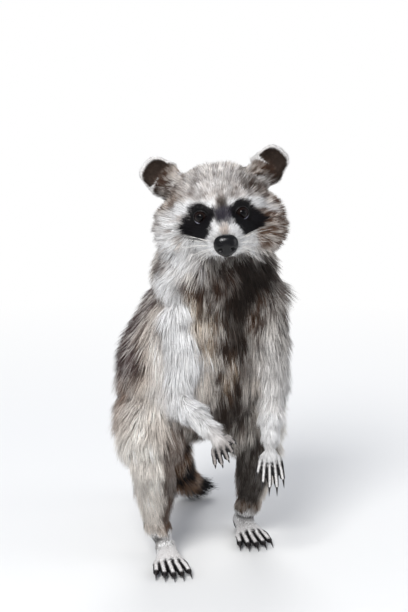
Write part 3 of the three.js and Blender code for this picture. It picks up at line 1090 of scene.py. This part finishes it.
def grow_coat(points, corners, normals, places, material):
    """Tufts over the whole skin, as joined pieces by region."""
    face, weight = tuft_roots(points, corners, normals)
    root = blend(points[corners[face]], weight)
    normal = unit(blend(normals[corners[face]], weight))
    share = sample(SHARES, root)
    ragged = waves(root, 16, 31)
    length, height = tuft_sizes(root, share, ragged)
    way, length, guide = in_locks(root, normal, flow(root, normal, share), length, share)
    width = coat_at("width", share) * MM * rng.uniform(*WIDTHS, len(root))
    colour, strand = tuft_colours(root, normal, share, ragged, guide)
    tufts = dict(root=root, normal=normal, way=way, length=length, height=height, width=width,
                 colour=colour, strand=strand, place=blend(places[face], weight))
    owner = np.array(KINDS)[share.argmax(0)]
    for region, (slot, kinds) in REGIONS.items():
        own = np.flatnonzero(np.isin(owner, kinds))
        own = own[np.argsort(root[own, 0])]
        chunks = math.ceil(len(own) * len(blade_faces()) / PIECE_LIMIT)
        for k, pick in enumerate(np.array_split(own, chunks)):
            name = f"{region}_{k + 1}" if chunks > 1 else region
            dress(make_blades(name, {key: values[pick] for key, values in tufts.items()}), material, slot)


def bare(points, normals):
    """1 where no hair grows: palms, soles, the edges of the lids and the nose."""
    share = sample(SHARES, points)
    gone = near(points, centre("nose") / MM, (19, 19, 16))
    for paw, side in PAWS:
        there = ramp(0.4, 0.7, share_of(share, f"{paw}_{side}"))
        gone = np.maximum(gone, under_paw(points, normals, paw, side) * there)
    for side in SIDES:
        gone = np.maximum(gone, ramp(11.6, 10.4, from_eye(side, points)))
    return np.clip(gone, 0, 1)


SHORT = ("face", "forepaw", "hindpaw", "ear")
GRIZZLED = {
    "head": 0.7, "neck": 0.45, "trunk": 0.4, "upper_arm": 0.35, "thigh": 0.25, "shank": 0.15,
    "tail_root": 0.3,
}


def grizzle_share(share):
    return np.tensordot([GRIZZLED.get(kind, 0.05) for kind in KINDS], share, 1)


def grizzled(colour, share, chance):
    """Some tufts are paler and some darker than the marking, but not in the mask or white bands."""
    level = colour.mean(1)
    mixed = 1.3 * grizzle_share(share) * ramp(0.010, 0.065, level) * ramp(0.85, 0.45, level)
    return laid(colour, (CREAM, mixed * ramp(0.50, 0.66, chance)), (BROWN, mixed * ramp(0.46, 0.30, chance)))


# ---- materials

class Nodes:
    """The nodes of a material or a world, and short ways to add more."""

    def __init__(self, owner):
        owner.use_nodes = True
        self.owner = owner
        self.tree = owner.node_tree
        self.shader = self.tree.nodes.get("Principled BSDF")

    def put(self, into, value):
        """Links a socket to an input, or sets the input to a plain value."""
        if isinstance(value, bpy.types.NodeSocket):
            self.tree.links.new(value, into)
        else:
            into.default_value = value

    def add(self, kind, inputs=None, **settings):
        node = self.tree.nodes.new("ShaderNode" + kind)
        for key, value in settings.items():
            setattr(node, key, value)
        for key, value in (inputs or {}).items():
            self.put(node.inputs[key], value)
        return node

    def maths(self, what, a, b):
        return self.add("Math", {0: a, 1: b}, operation=what).outputs[0]

    def scaled(self, *numbers):
        """A value, the range it runs over, and what that range becomes."""
        return self.add("MapRange", dict(enumerate(numbers)), clamp=True).outputs[0]

    def attribute(self, name, output="Fac"):
        return self.add("Attribute", attribute_name=name).outputs[output]

    def blend(self, factor, a, b, how="MIX"):
        return self.add("Mix", {0: factor, 6: a, 7: b}, data_type="RGBA", blend_type=how).outputs[2]

    def darker(self, share, colour, by):
        return self.blend(share, colour, self.blend(1.0, colour, by, "MULTIPLY"))

    def place(self):
        return self.add("TexCoord").outputs["Object"]

    def noise(self, scale):
        inputs = {"Vector": self.place(), "Scale": scale, "Detail": 3.0, "Roughness": 0.6}
        return self.add("TexNoise", inputs).outputs["Fac"]

    def bump(self, height, strength, distance):
        node = self.add("Bump", {"Strength": strength, "Distance": distance, "Height": height})
        self.put(self.shader.inputs["Normal"], node.outputs["Normal"])

    def finish(self, colour, roughness, specular):
        self.put(self.shader.inputs["Base Color"], colour)
        self.put(self.shader.inputs["Roughness"], roughness)
        self.put(self.shader.inputs["Specular IOR Level"], specular)
        return self.owner

    def surface(self, share, a, b):
        """Shows a blend of two shaders."""
        ends = self.add("MixShader", {0: share, 1: a, 2: b}).outputs[0]
        output = next(node for node in self.tree.nodes if node.type.startswith("OUTPUT"))
        self.put(output.inputs["Surface"], ends)


def look(name):
    return Nodes(bpy.data.materials.new(name))


def rgba(*value):
    return (*map(float, srgb(*value)), 1.0)


def coat_material():
    m = look("coat")
    tinted = m.add("Attribute", attribute_name="tint").outputs
    strand = m.attribute("strand", "Color")
    tone, dark_tip, painted_root_shade = m.add("SeparateColor", {0: strand}).outputs[:3]
    along = tinted["Alpha"]
    # Painted shade: each tuft darkens towards its root.
    under = m.maths("MULTIPLY", m.scaled(along, 0.02, 0.55, 1.0, 0.0), painted_root_shade)
    colour = m.darker(under, tinted["Color"], (0.30, 0.25, 0.23, 1))
    tip = m.maths("MULTIPLY", m.scaled(along, 0.60, 0.92, 0.0, 1.0), dark_tip)
    colour = m.darker(tip, colour, (0.16, 0.13, 0.13, 1))
    level = m.scaled(tone, 0.0, 1.0, 0.76, 1.20)
    bright = m.add("VectorMath", {0: colour, "Scale": level}, operation="SCALE")
    return m.finish(bright.outputs[0], 0.6, 0.14)


def skin_material():
    m = look("skin")
    tinted = m.attribute("tint", "Color")
    fine = m.noise(900.0)
    dark = m.blend(1.0, tinted, (0.52, 0.48, 0.46, 1), "MULTIPLY")
    colour = m.blend(m.scaled(fine, 0.35, 0.65, 0.0, 1.0), dark, tinted)
    m.bump(fine, 0.35, 0.0006)
    return m.finish(colour, 0.7, 0.2)


def nose_material():
    m = look("nose")
    cells = m.add("TexVoronoi", {"Vector": m.place(), "Scale": 1500.0})
    m.bump(cells.outputs["Distance"], 0.2, 0.0003)
    return m.finish(m.blend(m.noise(300.0), rgba(6, 5, 6), rgba(14, 13, 15)), 0.2, 0.34)


def claw_material():
    m = look("claw")
    return m.finish(m.blend(m.noise(260.0), rgba(18, 16, 17), rgba(44, 38, 37)), 0.30, 0.4)


# The eye's colours by the angle off the gaze: pupil, deep brown iris, and the dark edge of the ball.
EYE_RINGS = [
    (0.0, (6, 5, 6)), (0.30, (6, 5, 6)), (0.36, (26, 14, 9)), (0.60, (20, 12, 9)), (0.70, (10, 8, 8)),
    (1.0, (52, 40, 38)),
]


def eye_material():
    m = look("eye")
    ring = m.add("ValToRGB", {0: m.attribute("off")})
    stops = ring.color_ramp.elements
    while len(stops) < len(EYE_RINGS):
        stops.new(0.5)
    for stop, (at, value) in zip(stops, EYE_RINGS):
        stop.position = at
        stop.color = rgba(*value)
    return m.finish(ring.outputs[0], 0.04, 0.15)


def lid_material():
    """Black, with a painted pale bluish highlight along the middle of the lower lid."""
    m = look("lid")
    colour = m.blend(m.noise(500.0), rgba(14, 12, 13), rgba(26, 22, 23))
    return m.finish(m.blend(m.attribute("painted_glint"), colour, rgba(118, 118, 132)), 0.35, 0.3)


def whisker_material():
    m = look("whisker")
    return m.finish(m.blend(m.attribute("along"), rgba(214, 210, 204), rgba(242, 240, 236)), 0.4, 0.5)


# ---- eyes, nose, claws and whiskers

def tube_faces(count, around):
    """Triangles between a number of rings of points."""
    r, k = np.meshgrid(np.arange(count - 1) * around, np.arange(around), indexing="ij")
    n = (k + 1) % around
    a, b, c, d = r + k, r + n, r + around + n, r + around + k
    return np.stack([a, b, c, a, c, d], -1).reshape(-1, 3)


def lofted(name, rings, closed_ends=True):
    """A smooth tube through rings of points that all have as many."""
    rings = np.asarray(rings)
    count, around = rings.shape[:2]
    points, faces = rings.reshape(-1, 3), tube_faces(count, around)
    if closed_ends:
        first, base = np.full(around, len(points)), (count - 1) * around
        points = np.vstack([points, rings[0].mean(0), rings[-1].mean(0)])
        k = np.arange(around)
        n = (k + 1) % around
        ends = np.stack([n, k, first, base + k, base + n, first + 1], 1)
        faces = np.vstack([faces, ends.reshape(-1, 3)])
    return make_mesh(name, points, faces)


def ring_of(middle, across, upward, half_across, half_up, around):
    turn = np.linspace(0, 2 * math.pi, around, endpoint=False)
    return middle + np.outer(np.cos(turn) * half_across, across) + np.outer(np.sin(turn) * half_up, upward)


def make_eye(side, material):
    ahead, across, upward = eye_axes(side)
    rings, off = [], []
    steps, around = 48, 64
    for k in range(1, steps):
        angle = math.pi * k / steps
        radius = EYE_RADIUS + 0.0005 * math.exp(-(angle / 0.55) ** 4)
        middle = EYES[side] + ahead * radius * math.cos(angle)
        half = radius * math.sin(angle)
        rings.append(ring_of(middle, across, upward, half, half, around))
        off += [angle / (math.pi / 2)] * around
    piece = lofted(f"eyeball_{side}", rings)
    paint(piece, "off", np.clip(np.array(off + [0.0, 2.0], np.float32), 0, 1), "FLOAT")
    dress(piece, material, "eye", f"eye_{side}")


LID_EDGE_STEPS = 73
LID_EDGE_OUT = 0.0006


def make_lid_edge(side, material):
    """The bare dark edge of both lids, round the opening."""
    ahead, across, upward = eye_axes(side)
    rings, painted_glint = [], []
    around, thick = 8, 0.00055
    for turn in np.linspace(0, 2 * math.pi, LID_EDGE_STEPS):
        # Painted highlight: the lower middle of the lid edge is pale and bluish.
        painted_glint += [ramp(0.35, 0.95, -math.sin(turn))] * around
        off = open_angle(turn)
        out = across * math.cos(turn) + upward * math.sin(turn)
        way = ahead * math.cos(off) + out * math.sin(off)
        side_way = unit(out * math.cos(off) - ahead * math.sin(off))
        middle = EYES[side] + way * (EYE_RADIUS + LID_EDGE_OUT)
        rings.append(ring_of(middle, way, side_way, thick, thick * 1.3, around))
    piece = lofted(f"lid_edge_{side}", rings, closed_ends=False)
    paint(piece, "painted_glint", painted_glint, "FLOAT")
    dress(piece, material, "eye")


def make_nose(material):
    """The nose pad: broad above, with nostrils that open forwards and curl out to the sides."""
    middle = to_head(centre("nose")[None])[0]
    steps, around = 64, 96
    polar = np.linspace(0, math.pi, steps)[1:-1]
    turn = np.linspace(0, 2 * math.pi, around, endpoint=False)
    p, t = np.meshgrid(polar, turn, indexing="ij")
    x, z, front = np.sin(p) * np.cos(t), np.sin(p) * np.sin(t), np.cos(p)

    def rounded(v, power):
        return np.sign(v) * np.abs(v) ** power

    px = rounded(x, 0.85) * (13.4 * (1 + 0.08 * z))
    pz = rounded(z, 0.90) * (12.4 - 2.6 * (z < 0) * np.abs(x)) - 2.8
    py = -front * 8.5 - 0.10 * pz
    side = np.abs(px)
    nostril = hill((side - 6.0) / 2.0, (pz + 6.2) / 1.6)
    slit = hill((side - 9.6) / 2.8, (pz + 6.0 + 0.35 * (side - 8)) / 0.9)
    groove = hill(px / 0.7) * ramp(-3, -7, pz)
    wing = hill((side - 7.5) / 3.5, (pz + 2.6) / 2.0)
    py = py + (2.6 * nostril + 1.9 * slit + 0.7 * groove - 0.7 * wing) * (front > -0.2)
    points = np.stack([px + middle[0], py + middle[1], pz + middle[2]], -1)
    dress(lofted("nose_pad", from_head(points)), material, "nose", "nose")


# A claw starts inside its digit and ends a little short of its solid's tip.
CLAW_SUNK = 0.002
CLAW_SHORT = 0.0012
CLAW_RINGS = 12


def make_claws(kind, side, material):
    """A paw's five claws, each on its own solid's axis."""
    paw = centre(f"{kind}paw_{side}")
    for k in DIGITS:
        node = f"{kind}_claw_{side}_{k}"
        points = triangles_of(node)[0].astype(float)
        middle = points.mean(0)
        axis = np.linalg.svd(points - middle)[2][0]
        axis = axis * np.sign((middle - paw) @ axis)
        along = (points - middle) @ axis
        base = middle + axis * (along.min() - CLAW_SUNK)
        tip = middle + axis * (along.max() - CLAW_SHORT)
        back = points[along < along.min() + 0.35 * np.ptp(along)] - middle
        radius = np.linalg.norm(back - np.outer(back @ axis, axis), axis=1).max()
        up = square_to(back_of(f"{kind}paw", side), axis)
        rings = []
        for t in np.linspace(0, 1, CLAW_RINGS):
            taper = 0.85 * radius * (1 - 0.93 * t ** 1.2)
            lift = up * radius * (0.5 * math.sin(math.pi * t) - 0.3 * t)
            place = base + (tip - base) * t + lift
            rings.append(ring_of(place, np.cross(axis, up), up, taper * 0.72, taper, CLAW_RINGS))
        dress(lofted(f"{node}_horn", rings), material, "claw", node)


WHISKER_ROWS = 4
WHISKERS_IN_ROW = 4
WHISKER_LENGTHS = (22, 36)
WHISKER_SAG = 0.16


def make_whiskers(material):
    """Long thin hairs from the pads beside the nose, in four rows."""
    draw = np.random.default_rng(77)
    steps, around = 10, 5
    last = (steps - 1) * around
    caps = [face for k in range(1, around - 1) for face in ((0, k + 1, k), (last, last + k, last + k + 1))]
    faces = np.vstack([tube_faces(steps, around), caps])
    rows, places = range(WHISKER_ROWS), range(WHISKERS_IN_ROW)
    roots = [(sign, row, k) for sign in (-1, 1) for row in rows for k in places]
    rings = []
    for (sign, row, k), length in zip(roots, draw.uniform(*WHISKER_LENGTHS, len(roots))):
        start = np.array([sign * (13 + 2.2 * k), -77 + 5.0 * k, -15 - 3.6 * row - 0.8 * k])
        way = unit([sign * 1.0, 0.10 + 0.16 * k, 0.42 - 0.34 * row])
        way = unit(way + draw.normal(0, 0.07, 3))
        across = unit(np.cross(way, (0, 1, 0.2)))
        upward = np.cross(across, way)
        length += 3 * k
        for t in np.linspace(0, 1, steps):
            sag = np.array([0, 0, -1]) * length * WHISKER_SAG * t * t
            middle = start + way * length * t + sag + (0, 3 * t * t, 0)
            half = 0.17 * (1 - t) + 0.06
            rings.append(ring_of(middle, across, upward, half, half, around))
    faces = np.vstack([faces + steps * around * k for k in range(len(roots))])
    piece = make_mesh("whiskers", from_head(np.concatenate(rings)), faces)
    paint(piece, "along", np.tile(np.repeat(np.linspace(0, 1, steps), around), len(roots)), "FLOAT")
    dress(piece, material, "fur_pale")


# ---- the animal

coat_look, skin_look = coat_material(), skin_material()
skin_points, skin_corners, skin_normals = make_skin()
skin = make_mesh("skin", skin_points, skin_corners)
skin_places = unwrapped(skin)
skin_tint = np.ones((len(skin_points), 4), np.float32)
skin_share = sample(SHARES, skin_points)
# Down between the tufts of the long coat the skin is darker, as painted shade, and round the eyes it is
# black.
painted_shade_and_eye_black = 1 - 0.65 * ramp(5, 16, coat_at("length", skin_share))
for side in SIDES:
    painted_shade_and_eye_black *= 1 - 0.92 * ramp(19, 16, from_eye(side, skin_points))
skin_tint[:, :3] = tint(skin_points, skin_normals, skin_share) * painted_shade_and_eye_black[:, None]
paint(skin, "tint", skin_tint)
dress(skin, skin_look, "fur_grizzled", *FLESH)

grow_coat(skin_points, skin_corners, skin_normals, skin_places, coat_look)
make_nose(nose_material())
eye_look, lid_look, claw_look = eye_material(), lid_material(), claw_material()
for side in SIDES:
    make_eye(side, eye_look)
    make_lid_edge(side, lid_look)
    for kind in ("fore", "hind"):
        make_claws(kind, side, claw_look)
make_whiskers(whisker_material())

# ---- floor, light and camera

FLOOR_FADES = (0.55, 1.5)
FLOOR_REACH = 30.0
WHITE_FOR_CAMERA = (1, 1, 1, 1)


def make_floor():
    """Pale round the animal, and plain white for the camera further off."""
    m = look("floor")
    material = m.finish((0.86, 0.86, 0.85, 1), 0.9, 0.1)
    far = m.add("VectorMath", {0: m.place()}, operation="LENGTH").outputs["Value"]
    path = m.add("LightPath")
    white = m.add("Emission", {"Strength": 1.0})
    share = m.maths("MULTIPLY", m.scaled(far, *FLOOR_FADES, 0.0, 1.0), path.outputs["Is Camera Ray"])
    m.surface(share, m.shader.outputs[0], white.outputs[0])
    corners = FLOOR_REACH * np.array([(-1, -1, 0), (1, -1, 0), (1, 1, 0), (-1, 1, 0)])
    floor = make_mesh("floor", corners, np.array([[0, 1, 2, 3]]))
    floor.data.materials.append(material)


def make_light(name, place, aim, width, power, colour=(1, 1, 1)):
    lamp = bpy.data.lights.new(name, "AREA")
    lamp.shape = "DISK"
    lamp.size = width
    lamp.energy = power
    lamp.color = colour
    holder = placed(name, lamp)
    holder.location = place
    holder.rotation_euler = (Vector(aim) - Vector(place)).to_track_quat("-Z", "Y").to_euler()


def make_world():
    """Soft light from all round, and plain white for the camera."""
    world = bpy.data.worlds.new("studio")
    bpy.context.scene.world = world
    w = Nodes(world)
    ground = w.tree.nodes["Background"]
    w.put(ground.inputs["Color"], (0.86, 0.90, 1.0, 1))
    w.put(ground.inputs["Strength"], 0.45)
    seen = w.add("Background", {"Color": WHITE_FOR_CAMERA, "Strength": 1.0})
    path = w.add("LightPath")
    w.surface(path.outputs["Is Camera Ray"], ground.outputs[0], seen.outputs[0])


# The photograph's camera stood a little over a metre and a half away and looked down by 12 degrees.
AZIMUTH = math.radians(25)
PITCH = math.radians(12)
CAMERA_PLACE = Vector((-0.6816, -1.4889, 0.650))
SENSOR = 36.0
LENS = 82.35


def make_camera():
    lens = bpy.data.cameras.new("camera")
    lens.lens = LENS
    lens.sensor_width = SENSOR
    lens.sensor_fit = "AUTO"
    lens.clip_start = 0.05
    holder = placed("camera", lens)
    holder.location = CAMERA_PLACE
    holder.rotation_euler = (math.pi / 2 - PITCH, 0, -AZIMUTH)
    bpy.context.scene.camera = holder


make_floor()
make_light("key", (-1.6, -1.7, 2.3), (0, -0.03, 0.27), 1.25, 82, (1.0, 0.995, 0.985))
make_light("fill", (2.0, -1.5, 1.1), (0, -0.03, 0.25), 1.6, 10)
make_light("rim", (0.9, 2.0, 1.9), (0, 0, 0.3), 1.4, 26)
make_world()
make_camera()
bpy.context.scene.view_settings.view_transform = "Standard"
